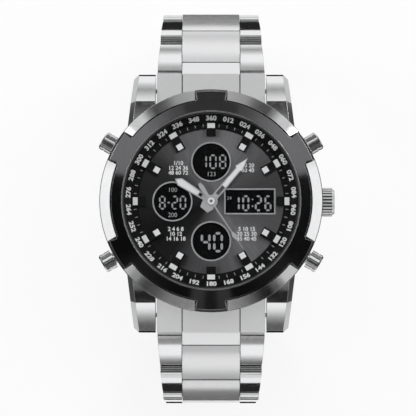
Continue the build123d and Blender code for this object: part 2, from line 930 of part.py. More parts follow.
with BuildPart() as setting_lever:
    with BuildSketch(yz_plane(lever_place + running_gap)):
        with Locations((0, control_height)):
            Rectangle(2 * lever_half, 2 * lever_reach)
            Circle(stem_groove_radius + running_gap, mode=Mode.SUBTRACT)
    extrude(amount=lever_thickness - 2 * running_gap)
save(setting_lever.part, "setting_lever")


def end_link(side):
    """End link between two lugs, with the centre tongue that the first row turns on."""
    first = chain(side)[0]
    slope = row_angles[0]
    run, out = along(side, slope), outward(side, slope)
    top = (first[0] - link_facing * run[1] + link_half * out[1], first[1] - link_facing * run[2] + link_half * out[2])
    foot = (first[0] - link_facing * run[1] - link_half * out[1], first[1] - link_facing * run[2] - link_half * out[2])
    with BuildPart() as made:
        with BuildSketch(yz_plane()):
            with BuildLine():
                Polyline(
                    (side * end_root, end_top),
                    (side * end_shoulder, end_shoulder_height),
                    top,
                    foot,
                    (side * end_root, end_foot),
                    close=True,
                )
            make_face()
        extrude(amount=end_half, both=True)
        for x in (-centre_half, centre_half):
            with BuildSketch(yz_plane(x - end_groove_width / 2)):
                with BuildLine():
                    Polyline(
                        (side * end_root, end_top + overrun),
                        (side * end_root, end_top - end_groove_depth),
                        (side * end_shoulder, end_shoulder_height - end_groove_depth),
                        (top[0] + side * overrun, top[1] - end_groove_depth - overrun),
                        (top[0] + side * overrun, end_top + overrun),
                        close=True,
                    )
                make_face()
            extrude(amount=end_groove_width, mode=Mode.SUBTRACT)
        start = -link_facing - link_bevel
        with BuildSketch(side_plane(first, side, slope)):
            with BuildLine():
                Polyline((end_run, -link_half), (start, -link_half), (start, link_half), (end_run, link_half))
                ThreePointArc((end_run, link_half), (link_end_radius, 0), (end_run, -link_half))
            make_face()
        extrude(amount=centre_half, both=True)
        with BuildSketch(Plane.XY):
            Circle(case_radius + slot_gap)
        extrude(amount=z_bezel, mode=Mode.SUBTRACT)
        add(rod((side * bar_place, bar_height), bar_radius, end_half + overrun), mode=Mode.SUBTRACT)
        add(rod(first, link_pin_radius + running_gap, centre_half + overrun), mode=Mode.SUBTRACT)
    return made.part


save(end_link(1), "end_link_12")
save(end_link(-1), "end_link_6")

with BuildPart() as lug_spring_bars:
    for side in (-1, 1):
        add(rod((side * bar_place, bar_height), bar_radius, end_half))
        add(rod((side * bar_place, bar_height), bar_tip_radius, end_half + bar_tip_length))
save(lug_spring_bars.part, "lug_spring_bars")


def outer_links(side, index):
    """The two outer links of a row with both their pins."""
    place, slope = chain(side)[index], row_angles[index]
    near_half, far_half = row_half_widths[index], row_half_widths[index + 1]
    far = link_pitch - link_facing
    with BuildPart() as made:
        for x_side in (-1, 1):
            start = x_side * outer_inner_half
            with BuildSketch(side_plane(place, side, slope, start)):
                with BuildLine():
                    Polyline(
                        (-end_run, -link_half),
                        (far, -link_half),
                        (far, link_half - link_bevel),
                        (far - link_bevel, link_half),
                    )
                    ThreePointArc(
                        (far - link_bevel, link_half),
                        ((far - link_bevel - end_run) / 2, link_half + link_crown),
                        (-end_run, link_half),
                    )
                    ThreePointArc((-end_run, link_half), (-link_end_radius, 0), (-end_run, -link_half))
                make_face()
            extrude(amount=x_side * side * (near_half - outer_inner_half))
        with BuildSketch(top_plane(place, side, slope)):
            with BuildLine():
                Polyline(
                    (-link_end_radius, -near_half),
                    (far, -far_half),
                    (far, far_half),
                    (-link_end_radius, near_half),
                    close=True,
                )
            make_face()
        extrude(amount=link_thickness, both=True, mode=Mode.INTERSECT)
        middle = (
            place[0] + link_pitch / 2 * along(side, slope)[1],
            place[1] + link_pitch / 2 * along(side, slope)[2],
        )
        for pin in (place, middle):
            add(rod(pin, link_pin_radius, outer_inner_half + link_pin_bury))
    return made.part


def centre_link(side, index):
    """A row's centre link: fixed on the middle pin, with the next row's pin at its far end."""
    place, slope = chain(side)[index], row_angles[index]
    after = chain(side)[index + 1]
    middle = ((place[0] + after[0]) / 2, (place[1] + after[1]) / 2)
    last = index == row_count - 1
    end_pin = fold_bar_radius if last and side > 0 else link_pin_radius + running_gap
    with BuildPart() as made:
        with BuildSketch(side_plane(place, side, slope)):
            with BuildLine():
                Line((link_pitch + end_run, -link_half), (lip_run, -link_half))
                ThreePointArc((lip_run, -link_half), (link_facing, 0), (lip_run, link_half))
                ThreePointArc(
                    (lip_run, link_half),
                    ((lip_run + link_pitch + end_run) / 2, link_half + link_crown),
                    (link_pitch + end_run, link_half),
                )
                ThreePointArc(
                    (link_pitch + end_run, link_half),
                    (link_pitch + link_end_radius, 0),
                    (link_pitch + end_run, -link_half),
                )
            make_face()
        extrude(amount=centre_half, both=True)
        add(rod(middle, link_pin_radius, centre_half + overrun), mode=Mode.SUBTRACT)
        add(rod(after, end_pin, centre_half + overrun), mode=Mode.SUBTRACT)
    return made.part


for side, clock in ((1, "12"), (-1, "6")):
    for index in range(row_count):
        save(outer_links(side, index), f"row_{clock}_{index + 1}_outer")
        save(centre_link(side, index), f"row_{clock}_{index + 1}_centre")

# Spring bar at the end of the 12 o'clock half, which the clasp's setting holes take
fold_bar = rod(chain(1)[row_count], fold_bar_radius, fold_bar_half)
save(fold_bar, "clasp_spring_bar")

# Clasp blades
blade_end = chain(-1)[row_count]
clasp_reach, clasp_height = chain(1)[row_count]
lower_blade_top = clasp_height + blade_lift
lower_blade_foot = lower_blade_top - blade_thickness
middle_blade_top = lower_blade_foot - blade_gap
middle_foot = middle_blade_top - blade_thickness
blade_hinge_place = clasp_reach - blade_hinge_back
blade_hinge = (blade_hinge_place, clasp_height - blade_hinge_drop)
cover_hinge_place = cover_hinge_back - clasp_reach
cover_hinge_height = middle_foot + cover_hinge_lift
cover_hinge = (cover_hinge_place, cover_hinge_height)
cover_floor = cover_hinge_height - cover_eye_radius - running_gap
cover_bottom = cover_floor - cover_thickness
cover_ear_reach = math.hypot(cover_eye_radius, cover_hinge_height - cover_floor)
with BuildPart() as clasp_lower_blade:
    with BuildSketch(yz_plane(-blade_half)):
        with Locations(blade_end):
            Circle(blade_eye_radius)
        with BuildLine():
            Polyline(
                (blade_end[0], lower_blade_foot),
                (blade_hinge_place, lower_blade_foot),
                (blade_hinge_place, lower_blade_top),
                (blade_end[0], lower_blade_top),
                close=True,
            )
        make_face()
        with Locations(blade_hinge):
            Circle(blade_eye_radius)
    extrude(amount=2 * blade_half)
    with BuildSketch(yz_plane(-outer_inner_half)):
        with Locations(blade_end):
            Circle(link_facing + slot_gap)
    extrude(amount=2 * outer_inner_half, mode=Mode.SUBTRACT)
    with BuildSketch(yz_plane(-knuckle_half - slot_gap)):
        with Locations(blade_hinge):
            Circle(blade_eye_radius + slot_gap)
    extrude(amount=2 * (knuckle_half + slot_gap), mode=Mode.SUBTRACT)
    add(rod(blade_end, link_pin_radius, blade_half))
    add(rod(blade_hinge, blade_pin_radius, blade_half))
save(clasp_lower_blade.part, "clasp_lower_blade")

with BuildPart() as clasp_middle_blade:
    with BuildSketch(yz_plane(-blade_half)):
        with BuildLine():
            Polyline(
                (cover_hinge_place, middle_foot),
                (blade_hinge_place, middle_foot),
                (blade_hinge_place, middle_blade_top),
                (cover_hinge_place, middle_blade_top),
                close=True,
            )
        make_face()
    extrude(amount=2 * blade_half)
    knuckles = (
        (blade_hinge, blade_eye_radius, blade_eye_radius),
        (cover_hinge, cover_eye_radius, cover_ear_reach),
    )
    for hinge, radius, reach in knuckles:
        for x in (-blade_half, knuckle_half):
            with BuildSketch(yz_plane(x)):
                with Locations(hinge):
                    Circle(reach + side_gap)
            extrude(amount=blade_half - knuckle_half, mode=Mode.SUBTRACT)
        with BuildSketch(yz_plane(-knuckle_half)):
            with Locations(hinge):
                Circle(radius)
        extrude(amount=2 * knuckle_half)
    add(rod(blade_hinge, blade_pin_radius + running_gap, knuckle_half + overrun), mode=Mode.SUBTRACT)
    add(rod(cover_hinge, cover_pin_radius + running_gap, knuckle_half + overrun), mode=Mode.SUBTRACT)
save(clasp_middle_blade.part, "clasp_middle_blade")

# Clasp cover: a channel with setting holes in its walls, that the watch stands on
cover_inner_half = fold_bar_half + cover_bar_gap
cover_half = cover_inner_half + cover_wall
cover_wall_top = clasp_height + cover_wall_rise
cover_back = cover_hinge_place - cover_back_length
cover_front = clasp_reach + cover_front_length
cover_notch = clasp_reach - cover_notch_depth
cover_notch_half = centre_half + cover_notch_gap
cover_mouth = clasp_reach + cover_mouth_length
with BuildPart() as clasp_cover:
    with BuildSketch(yz_plane(-cover_half)):
        with BuildLine():
            Polyline(
                (cover_back, cover_bottom),
                (cover_front, cover_bottom),
                (cover_front, cover_wall_top),
                (cover_back + cover_slope_length, cover_wall_top),
                (cover_back, cover_floor),
                close=True,
            )
        make_face()
    extrude(amount=2 * cover_half)
    with BuildSketch(Plane.XY.offset(cover_floor)):
        with Locations(((0, (cover_back + cover_front) / 2))):
            Rectangle(2 * cover_inner_half, cover_front - cover_back + overrun)
    extrude(amount=cover_wall_top - cover_floor + overrun, mode=Mode.SUBTRACT)
    with BuildSketch(Plane.XY.offset(cover_bottom - overrun)):
        with Locations((0, cover_notch + overrun)):
            Rectangle(2 * cover_notch_half, 2 * overrun)
        with Locations((0, cover_front)):
            Rectangle(2 * cover_notch_half, 2 * overrun)
        with Locations((0, cover_mouth + overrun)):
            Rectangle(2 * cover_inner_half, 2 * overrun)
    extrude(amount=cover_thickness + 2 * overrun, mode=Mode.SUBTRACT)
    for index in range(setting_holes):
        hole = (clasp_reach - setting_hole_pitch * index, clasp_height)
        dimples = rod(hole, setting_hole_radius, cover_inner_half + setting_hole_depth, fold_bar_half)
        add(dimples, mode=Mode.SUBTRACT)
    for x in (-knuckle_half - side_gap - cover_ear_width, knuckle_half + side_gap):
        with BuildSketch(yz_plane(x)):
            with Locations(cover_hinge):
                Circle(cover_eye_radius)
            with Locations((cover_hinge_place, (cover_hinge_height + cover_floor) / 2)):
                Rectangle(2 * cover_eye_radius, cover_hinge_height - cover_floor)
        extrude(amount=cover_ear_width)
    add(rod(cover_hinge, cover_pin_radius, knuckle_half + side_gap + cover_ear_width))
save(clasp_cover.part, "clasp_cover")
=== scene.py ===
import math
import bmesh
import bpy
from mathutils import Matrix, Vector


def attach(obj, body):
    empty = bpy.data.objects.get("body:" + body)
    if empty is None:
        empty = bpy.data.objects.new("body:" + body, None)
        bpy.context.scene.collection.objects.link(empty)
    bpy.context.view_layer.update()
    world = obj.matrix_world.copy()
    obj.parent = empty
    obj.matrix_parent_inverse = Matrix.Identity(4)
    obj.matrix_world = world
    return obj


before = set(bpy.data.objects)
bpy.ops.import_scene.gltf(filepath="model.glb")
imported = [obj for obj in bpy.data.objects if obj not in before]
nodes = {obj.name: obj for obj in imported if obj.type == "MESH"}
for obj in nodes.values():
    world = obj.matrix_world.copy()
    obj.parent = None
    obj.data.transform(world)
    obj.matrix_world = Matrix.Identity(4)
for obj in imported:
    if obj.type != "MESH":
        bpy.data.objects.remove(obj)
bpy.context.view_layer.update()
mm = 0.001
print("frame loaded", len(nodes))


def linear(code):
    # sRGB hex to linear colour
    values = [int(code[i:i + 2], 16) / 255 for i in (1, 3, 5)]
    return [v / 12.92 if v <= 0.04045 else ((v + 0.055) / 1.055) ** 2.4 for v in values] + [1.0]


def addNode(tree, kind, inputs=None, **settings):
    node = tree.nodes.new(kind)
    for key, value in settings.items():
        setattr(node, key, value)
    for key, value in (inputs or {}).items():
        if isinstance(value, bpy.types.NodeSocket):
            tree.links.new(value, node.inputs[key])
        else:
            node.inputs[key].default_value = value
    return node


def newTree(name):
    made = bpy.data.materials.new(name)
    made.use_nodes = True
    made.node_tree.nodes.clear()
    return made, made.node_tree


def greyRamp(tree, place, stops):
    # greys at chosen places, from the first stop to the last
    low, high = stops[0][0], stops[-1][0]
    share = addNode(tree, "ShaderNodeMapRange", {"Value": place, "From Min": low, "From Max": high})
    ramp = addNode(tree, "ShaderNodeValToRGB", {0: share.outputs[0]})
    for at, grey in stops[1:-1]:
        ramp.color_ramp.elements.new((at - low) / (high - low))
    for element, (at, grey) in zip(ramp.color_ramp.elements, stops):
        element.color = (grey, grey, grey, 1)
    return ramp.outputs[0]


grainDepth = 0.01  # mm, depth of every fine grain
# how the finishes read their surface: noise that counts as smooth and as coarse, the bend of
# a corner that starts and ends its wear, and for the painted shade in gaps how shut a gap is when
# it is fully dark and when open, and its darkest tone
reading = {"smooth": 0.3, "coarse": 0.7, "wearStart": 0.995, "wearEnd": 0.93,
           "gapDark": 0.3, "gapOpen": 0.85, "gapTone": 0.03, "samples": 6}


def surfaceFinish(spec):
    # grain is the pattern's size in mm along x, y and z; edge, the painted gap shade's reach and
    # rim are in mm too
    made, tree = newTree(spec["name"])
    place = addNode(tree, "ShaderNodeTexCoord").outputs["Object"]
    grain = [1 / (mm * size) for size in spec["grain"]]
    spread = addNode(tree, "ShaderNodeVectorMath", {0: place, 1: grain}, operation="MULTIPLY")
    fine = addNode(tree, "ShaderNodeTexNoise",
                   {"Vector": spread.outputs[0], "Scale": 1.0, "Detail": 4.0})
    tone = addNode(tree, "ShaderNodeMix",
                   {0: fine.outputs["Fac"], 6: linear(spec["dark"]), 7: linear(spec["light"])},
                   data_type="RGBA")
    smooth, coarse = spec["rough"]
    rough = addNode(tree, "ShaderNodeMapRange",
                    {"Value": fine.outputs["Fac"], "From Min": reading["smooth"],
                     "From Max": reading["coarse"], "To Min": smooth, "To Max": coarse})
    bump = addNode(tree, "ShaderNodeBump",
                   {"Height": fine.outputs["Fac"], "Strength": spec["bump"],
                    "Distance": grainDepth * mm})
    facing = bump.outputs[0]
    if "edge" in spec:  # corners catch light as if slightly rounded
        soft = addNode(tree, "ShaderNodeBevel", {"Radius": spec["edge"] * mm},
                       samples=reading["samples"])
        tree.links.new(soft.outputs[0], bump.inputs["Normal"])
    if "worn" in spec:  # the coat is thinner, and so paler, along the rounded corners
        sharp = addNode(tree, "ShaderNodeNewGeometry").outputs["Normal"]
        bend = addNode(tree, "ShaderNodeVectorMath", {0: soft.outputs[0], 1: sharp},
                       operation="DOT_PRODUCT")
        thin = addNode(tree, "ShaderNodeMapRange",
                       {"Value": bend.outputs["Value"], "From Min": reading["wearStart"],
                        "From Max": reading["wearEnd"]})
        tone = addNode(tree, "ShaderNodeMix",
                       {0: thin.outputs[0], 6: tone.outputs[2], 7: linear(spec["worn"])},
                       data_type="RGBA")
    if "gap" in spec:  # painted shade: narrow gaps between pieces are darkened in the colour
        shade = addNode(tree, "ShaderNodeAmbientOcclusion", {"Distance": spec["gap"] * mm},
                        samples=reading["samples"])
        paintedGapShade = addNode(tree, "ShaderNodeMapRange",
                      {"Value": shade.outputs["AO"], "From Min": reading["gapDark"],
                       "From Max": reading["gapOpen"], "To Min": reading["gapTone"],
                       "To Max": 1.0})
        tone = addNode(tree, "ShaderNodeMix",
                       {0: 1.0, 6: tone.outputs[2], 7: paintedGapShade.outputs[0]},
                       data_type="RGBA", blend_type="MULTIPLY")
    if "rim" in spec:  # a plain grey lip inside this radius
        sharp = addNode(tree, "ShaderNodeNewGeometry").outputs["Normal"]
        flat = addNode(tree, "ShaderNodeVectorMath", {0: place, 1: (1, 1, 0)},
                       operation="MULTIPLY")
        reach = addNode(tree, "ShaderNodeVectorMath", {0: flat.outputs[0]}, operation="LENGTH")
        inside = addNode(tree, "ShaderNodeMath",
                         {0: reach.outputs["Value"], 1: spec["rim"] * mm}, operation="LESS_THAN")
        tone = addNode(tree, "ShaderNodeMix",
                       {0: inside.outputs[0], 6: tone.outputs[2], 7: linear(spec["rimTone"])},
                       data_type="RGBA")
        facing = addNode(tree, "ShaderNodeMix", {0: inside.outputs[0], 4: facing, 5: sharp},
                         data_type="VECTOR").outputs[1]
        rough = addNode(tree, "ShaderNodeMix",
                        {0: inside.outputs[0], 2: rough.outputs[0], 3: spec["rimRough"]},
                        data_type="FLOAT")
    skin = addNode(tree, "ShaderNodeBsdfPrincipled",
                   {"Base Color": tone.outputs[2], "Roughness": rough.outputs[0],
                    "Normal": facing, "Metallic": spec.get("metal", 0.0),
                    "Specular IOR Level": spec.get("shine", 0.5)})
    addNode(tree, "ShaderNodeOutputMaterial", {"Surface": skin.outputs[0]})
    return made


# stainless steel, mirror polished: sharp bright and dark bands, with painted shade darkening its
# seams
polishedSteel = {"name": "PolishedSteel", "grain": (0.9, 0.9, 0.9), "dark": "#E6E7E8",
                 "light": "#F0F0F1", "rough": (0.07, 0.12), "bump": 0.01, "metal": 1.0,
                 "edge": 0.1, "gap": 0.5}
# the same steel with the satin lip that holds the crystal
bezelSteel = dict(polishedSteel, name="BezelSteel", rim=18.3, rimTone="#8C8C8E", rimRough=0.4)
# the pushers' steel, polished on a lathe: softer bands round the caps
buttonSteel = {"name": "ButtonSteel", "grain": (0.9, 0.9, 0.9), "dark": "#E6E7E8",
               "light": "#F0F0F1", "rough": (0.1, 0.15), "bump": 0.0, "metal": 1.0}
# silver plated brass, stamped: a thin even grey line round each window
windowRimSteel = {"name": "WindowRimSteel", "grain": (0.3, 0.3, 0.3), "dark": "#A6A7A9",
                  "light": "#B8B9BB", "rough": (0.3, 0.4), "bump": 0.0, "metal": 0.3}
# stainless steel brushed along the bracelet: pale, with fine lines and a soft sheen, and painted
# shade in the gaps between pieces
brushedSteel = {"name": "BrushedSteel", "grain": (0.05, 1.2, 0.6), "dark": "#E0E1E2",
                "light": "#F4F4F5", "rough": (0.16, 0.26), "bump": 0.12, "metal": 0.7,
                "gap": 0.5}
# steel under a glossy black vapour coat: a dark mirror, paler along its corners, with painted shade
# in narrow gaps
blackBezelCoat = {"name": "BlackBezelCoat", "grain": (1.2, 1.2, 1.2), "dark": "#707072",
                  "light": "#78787A", "rough": (0.05, 0.08), "bump": 0.02, "metal": 1.0,
                  "edge": 0.16, "worn": "#B0B0B2", "gap": 0.4}
# moulded ABS, matt: near black with hardly a highlight
blackPlastic = {"name": "BlackPlastic", "grain": (0.1, 0.1, 0.1), "dark": "#020202",
                "light": "#070708", "rough": (0.35, 0.5), "bump": 0.1, "shine": 0.25}
# luminous paint, dried chalky: flat clean white
markerWhite = {"name": "MarkerWhite", "grain": (0.12, 0.12, 0.12), "dark": "#E4E6E8",
               "light": "#F6F7F8", "rough": (0.5, 0.65), "bump": 0.2}
# nickel plated sheet, satin: an even mid grey
handSteel = {"name": "HandSteel", "grain": (0.3, 0.3, 0.3), "dark": "#B2B3B5",
             "light": "#C2C3C5", "rough": (0.4, 0.5), "bump": 0.0, "metal": 0.4}
# liquid crystal glass over a black film: deep black, slightly glossy
displayBlack = {"name": "DisplayBlack", "grain": (0.5, 0.5, 0.5), "dark": "#010102",
                "light": "#040405", "rough": (0.15, 0.25), "bump": 0.02, "shine": 0.3}
# nitrile rubber, moulded: dull black
gasketRubber = {"name": "GasketRubber", "grain": (0.2, 0.2, 0.2), "dark": "#0D0D0D",
                "light": "#1C1C1C", "rough": (0.6, 0.8), "bump": 0.3}
# glass fibre board under solder mask: mottled green with a slight gloss
circuitBoardGreen = {"name": "CircuitBoardGreen", "grain": (0.8, 0.8, 0.8), "dark": "#0F3B1C",
                     "light": "#1B5A2C", "rough": (0.35, 0.5), "bump": 0.1}
# rolled brass, bare: warm yellow metal
plainBrass = {"name": "PlainBrass", "grain": (0.4, 0.4, 0.4), "dark": "#A98747",
              "light": "#C9A765", "rough": (0.2, 0.35), "bump": 0.1, "metal": 1.0}
# pad printed ink, white: flat and bright on the black ring and the dial
printWhite = {"name": "PrintWhite", "grain": (0.1, 0.1, 0.1), "dark": "#E6E8E9",
              "light": "#F6F7F8", "rough": (0.5, 0.6), "bump": 0.1}
# lit bars of the displays: cool light grey
digitGrey = {"name": "DigitGrey", "grain": (0.15, 0.15, 0.15), "dark": "#94979A",
             "light": "#A6A9AB", "rough": (0.4, 0.5), "bump": 0.02}
# pad printed ink, grey: the fainter minute ticks
tickGrey = {"name": "TickGrey", "grain": (0.1, 0.1, 0.1), "dark": "#9A9C9E",
            "light": "#B0B2B4", "rough": (0.5, 0.6), "bump": 0.1}

finish = {spec["name"]: surfaceFinish(spec) for spec in (
    polishedSteel, bezelSteel, buttonSteel, windowRimSteel, brushedSteel, blackBezelCoat,
    blackPlastic, markerWhite, handSteel, displayBlack, gasketRubber, circuitBoardGreen,
    plainBrass, printWhite, digitGrey, tickGrey)}

# stainless steel, knurled: bright ridges, with painted shade making the hollows between them black
# in mm: the crown's axis height, how far out the shaded hollows and the ridges lie, where its end
# face starts
flutes = {"axis": 6.3, "foot": 2.74, "crest": 2.9, "end": 25.0, "paintedHollowShade": "#101011",
          "ridge": "#F2F2F3", "metal": 0.6, "rough": 0.22}


def flutedSteel():
    made, tree = newTree("FlutedSteel")
    place = addNode(tree, "ShaderNodeTexCoord").outputs["Object"]
    parts = addNode(tree, "ShaderNodeSeparateXYZ", {0: place})
    across = addNode(tree, "ShaderNodeVectorMath", {0: place, 1: (0, 0, flutes["axis"] * mm)},
                     operation="SUBTRACT")
    across = addNode(tree, "ShaderNodeVectorMath", {0: across.outputs[0], 1: (0, 1, 1)},
                     operation="MULTIPLY")
    reach = addNode(tree, "ShaderNodeVectorMath", {0: across.outputs[0]}, operation="LENGTH")
    crest = addNode(tree, "ShaderNodeMapRange",
                    {"Value": reach.outputs["Value"], "From Min": flutes["foot"] * mm,
                     "From Max": flutes["crest"] * mm})
    end = addNode(tree, "ShaderNodeMath", {0: parts.outputs["X"], 1: flutes["end"] * mm},
                  operation="GREATER_THAN")
    unshadedPart = addNode(tree, "ShaderNodeMath", {0: crest.outputs[0], 1: end.outputs[0]},
                     operation="MAXIMUM")
    # painted shade: near black inside the hollows' radius, the ridge colour outside it and on the
    # end face
    tone = addNode(tree, "ShaderNodeMix",
                   {0: unshadedPart.outputs[0], 6: linear(flutes["paintedHollowShade"]),
                    7: linear(flutes["ridge"])}, data_type="RGBA")
    skin = addNode(tree, "ShaderNodeBsdfPrincipled",
                   {"Base Color": tone.outputs[2], "Metallic": flutes["metal"],
                    "Roughness": flutes["rough"]})
    addNode(tree, "ShaderNodeOutputMaterial", {"Surface": skin.outputs[0]})
    return made


# sunray brushed metal under grey lacquer: fine rays from the centre, and bright and dark fans of
# painted sheen
# rays are lines per radian and per metre, the painted sheen fans are degrees from 3 o'clock with
# their grey
sunburst = {"dark": "#6A6A6C", "light": "#9C9C9E", "rough": 0.42, "stretch": 0.9, "bump": 0.2,
            "rays": (60.0, 30.0, 1.0), "detail": 5.0, "contrast": 0.7,
            "paintedSheenFans": ((-180, 0.24), (-155, 0.13), (-128, 0.13), (-100, 0.55), (-60, 1.05),
                     (-40, 1.2), (-15, 1.05), (15, 0.75), (45, 1.1), (75, 1.1), (115, 0.95),
                     (145, 0.36), (180, 0.24))}


def sunburstGrey():
    made, tree = newTree("SunburstGrey")
    place = addNode(tree, "ShaderNodeTexCoord").outputs["Object"]
    parts = addNode(tree, "ShaderNodeSeparateXYZ", {0: place})
    turn = addNode(tree, "ShaderNodeMath", {0: parts.outputs["Y"], 1: parts.outputs["X"]},
                   operation="ARCTAN2")
    reach = addNode(tree, "ShaderNodeVectorMath", {0: place}, operation="LENGTH")
    line = addNode(tree, "ShaderNodeCombineXYZ",
                   {"X": turn.outputs[0], "Y": reach.outputs["Value"]})
    rays = addNode(tree, "ShaderNodeVectorMath", {0: line.outputs[0], 1: sunburst["rays"]},
                   operation="MULTIPLY")
    fine = addNode(tree, "ShaderNodeTexNoise",
                   {"Vector": rays.outputs[0], "Scale": 1.0, "Detail": sunburst["detail"],
                    "Roughness": sunburst["contrast"]})
    tone = addNode(tree, "ShaderNodeMix",
                   {0: fine.outputs["Fac"], 6: linear(sunburst["dark"]),
                    7: linear(sunburst["light"])}, data_type="RGBA")
    # painted sheen: the colour is made lighter and darker by direction round the dial, where the
    # brushed metal would catch or miss the light
    paintedSheen = greyRamp(tree, turn.outputs[0],
                   [(math.radians(at), grey) for at, grey in sunburst["paintedSheenFans"]])
    tone = addNode(tree, "ShaderNodeMix", {0: 1.0, 6: tone.outputs[2], 7: paintedSheen},
                   data_type="RGBA", blend_type="MULTIPLY")
    bump = addNode(tree, "ShaderNodeBump",
                   {"Height": fine.outputs["Fac"], "Strength": sunburst["bump"],
                    "Distance": grainDepth * mm})
    tangent = addNode(tree, "ShaderNodeTangent", direction_type="RADIAL", axis="Z")
    skin = addNode(tree, "ShaderNodeBsdfPrincipled",
                   {"Base Color": tone.outputs[2], "Normal": bump.outputs[0],
                    "Tangent": tangent.outputs[0], "Metallic": 1.0,
                    "Roughness": sunburst["rough"], "Anisotropic": sunburst["stretch"]})
    addNode(tree, "ShaderNodeOutputMaterial", {"Surface": skin.outputs[0]})
    return made


# mineral glass, flat and polished: clear, with a faint gloss over the dial
# smears is how many cross a metre, veil how much of the gloss covers what is under it
glass = {"dark": "#06080A", "light": "#0C0F11", "smears": 300.0, "detail": 2.0,
         "rough": (0.01, 0.04), "veil": 0.08}


def clearCrystal():
    made, tree = newTree("ClearCrystal")
    place = addNode(tree, "ShaderNodeTexCoord").outputs["Object"]
    fine = addNode(tree, "ShaderNodeTexNoise",
                   {"Vector": place, "Scale": glass["smears"], "Detail": glass["detail"]})
    tone = addNode(tree, "ShaderNodeMix",
                   {0: fine.outputs["Fac"], 6: linear(glass["dark"]), 7: linear(glass["light"])},
                   data_type="RGBA")
    smooth, coarse = glass["rough"]
    rough = addNode(tree, "ShaderNodeMapRange",
                    {"Value": fine.outputs["Fac"], "To Min": smooth, "To Max": coarse})
    skin = addNode(tree, "ShaderNodeBsdfPrincipled",
                   {"Base Color": tone.outputs[2], "Roughness": rough.outputs[0],
                    "Alpha": glass["veil"]})
    addNode(tree, "ShaderNodeOutputMaterial", {"Surface": skin.outputs[0]})
    made.blend_method = "BLEND"
    return made


finish["FlutedSteel"] = flutedSteel()
finish["SunburstGrey"] = sunburstGrey()
finish["ClearCrystal"] = clearCrystal()
print("materials made", len(finish))

# finish of every CAD node, by the start of its name; the first that fits is taken
nodeFinish = (
    ("case_middle", "PolishedSteel"),
    ("case_back_gasket", "GasketRubber"),
    ("case_back", "BrushedSteel"),
    ("bezel_steel", "BezelSteel"),
    ("bezel_black", "BlackBezelCoat"),
    ("crystal_gasket", "GasketRubber"),
    ("crystal", "ClearCrystal"),
    ("flange_ring", "BlackPlastic"),
    ("dial_plate", "SunburstGrey"),
    ("window_frames", "WindowRimSteel"),
    ("lcd_panel", "DisplayBlack"),
    ("hour_markers", "BlackPlastic"),
    ("lume_blocks", "MarkerWhite"),
    ("movement_module", "PlainBrass"),
    ("circuit_board", "CircuitBoardGreen"),
    ("battery", "HandSteel"),
    ("movement_holder", "BlackPlastic"),
    ("control_tubes", "HandSteel"),
    ("end_link", "BrushedSteel"),
    ("lug_spring_bars", "HandSteel"),
    ("hour_hand", "HandSteel"),
    ("minute_hand", "HandSteel"),
    ("seconds_hand", "HandSteel"),
    ("pusher", "ButtonSteel"),
    ("crown", "FlutedSteel"),
    ("setting_lever", "HandSteel"),
    ("clasp_spring_bar", "HandSteel"),
    ("clasp", "BrushedSteel"),
)
for name, node in nodes.items():
    chosen = next((kind for start, kind in nodeFinish if name.startswith(start)), None)
    if chosen is None:  # bracelet rows: brushed centre links between polished ones
        chosen = "BrushedSteel" if name.endswith("centre") else "PolishedSteel"
    node.data.materials.clear()
    node.data.materials.append(finish[chosen])
print("nodes dressed")


def newPiece(name, shape, body, material):
    mesh = bpy.data.meshes.new(name)
    shape.to_mesh(mesh)
    shape.free()
    made = bpy.data.objects.new(name, mesh)
    bpy.context.scene.collection.objects.link(made)
    mesh.materials.append(finish[material])
    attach(made, body)
    return made


def raisedPlate(shape, corners, low, high):
    # flat plate from one height to another; corners run anticlockwise seen from above
    flat = shape.faces.new([shape.verts.new((x, y, low)) for x, y in corners])
    flat.normal_update()
    grown = bmesh.ops.extrude_face_region(shape, geom=[flat])["geom"]
    top = [part for part in grown if isinstance(part, bmesh.types.BMVert)]
    bmesh.ops.translate(shape, verts=top, vec=(0, 0, high - low))


def radialRow(points, degrees):
    # from distance out and distance to the side, both in mm, to places turned round the dial
    c, s = math.cos(math.radians(degrees)), math.sin(math.radians(degrees))
    return [((r * c - t * s) * mm, (r * s + t * c) * mm) for r, t in points]


def outlined(halfWidths):
    # both sides of a shape, from its half width at each distance out
    return [(r, -w) for r, w in halfWidths] + [(r, w) for r, w in reversed(halfWidths)]


# printed ticks between the hour markers, in mm
minuteTicks = {"near": 15.45, "far": 16.05, "half": 0.07, "low": 9.3, "high": 9.33,
               "count": 60, "hour": 5}
shape = bmesh.new()
tick = outlined([(minuteTicks[end], minuteTicks["half"]) for end in ("near", "far")])
for minute in range(minuteTicks["count"]):
    if minute % minuteTicks["hour"]:
        raisedPlate(shape, radialRow(tick, minute * 360 / minuteTicks["count"]),
                    minuteTicks["low"] * mm, minuteTicks["high"] * mm)
newPiece("minute_ticks", shape, "case", "TickGrey")

printing = {"height": 0.01, "curve": 3}  # half a print's height in mm, steps in its curves


def plainText(shape, words, size, matrix, bold=0.0):
    # numbers as thin flat shapes, made a mesh and then put in place by the matrix
    curve = bpy.data.curves.new("words", "FONT")
    curve.body = words
    curve.size = size
    curve.align_x = "CENTER"
    curve.align_y = "CENTER"
    curve.offset = bold * mm
    curve.extrude = printing["height"] * mm
    curve.resolution_u = printing["curve"]
    holder = bpy.data.objects.new("words", curve)
    mesh = bpy.data.meshes.new_from_object(holder)
    mesh.transform(matrix)
    shape.from_mesh(mesh)
    bpy.data.objects.remove(holder)
    bpy.data.curves.remove(curve)
    bpy.data.meshes.remove(mesh)


